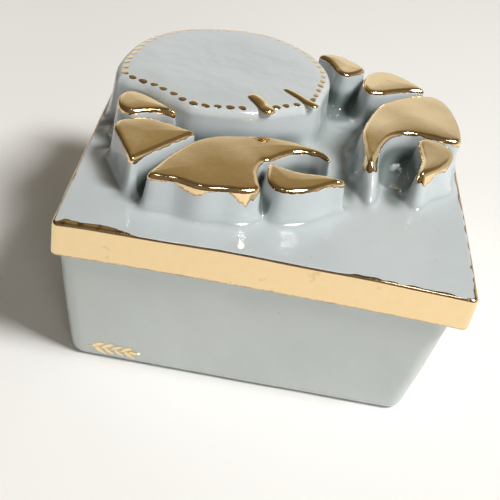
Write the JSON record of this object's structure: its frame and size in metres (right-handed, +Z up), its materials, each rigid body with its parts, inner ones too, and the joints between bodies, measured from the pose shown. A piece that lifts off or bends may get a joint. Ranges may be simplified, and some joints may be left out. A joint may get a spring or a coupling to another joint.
{
  "type": "porcelain trinket box",
  "caption": "Square glazed porcelain trinket box with a tapered base and a lift-off lid that carries a crab in relief with gold lustre tops and a gold edge band.",
  "frame": {"origin": "under the middle of the lid, on the surface that the box stands on", "axes": "+X along the front from left to right, +Y from front to back, +Z up"},
  "size_m": [0.1, 0.1, 0.0594],
  "materials": {
    "base_glaze": "glossy pale grey-blue glaze",
    "lid_glaze": "glossy pale grey-blue glaze, pooled at the feet of the relief",
    "gold_lustre": "mirror-bright fired gold lustre with ragged brushed edges"
  },
  "bodies": {
    "box": {"box_base": "base_glaze", "base_sprig": "gold_lustre"},
    "lid": {"lid_plate": "lid_glaze", "lid_edge_gold": "gold_lustre", "carapace": "lid_glaze", "carapace_dots": "gold_lustre", "left_eye": "gold_lustre", "right_eye": "gold_lustre", "left_arm_inner": "lid_glaze", "left_arm_outer": "lid_glaze", "left_claw_palm": "lid_glaze", "left_claw_thumb": "lid_glaze", "right_arm_inner": "lid_glaze", "right_arm_outer": "lid_glaze", "right_claw_palm": "lid_glaze", "right_claw_thumb": "lid_glaze", "left_arm_inner_gold": "gold_lustre", "left_arm_outer_gold": "gold_lustre", "left_palm_gold": "gold_lustre", "left_thumb_gold": "gold_lustre", "right_arm_inner_gold": "gold_lustre", "right_arm_outer_gold": "gold_lustre", "right_palm_gold": "gold_lustre", "right_thumb_gold": "gold_lustre"}
  },
  "joints": [
    {"name": "lid_lift", "type": "slide", "parent": "box", "child": "lid", "axis": [0, 0, 1], "range_m": [0, 0.06]}
  ]
}
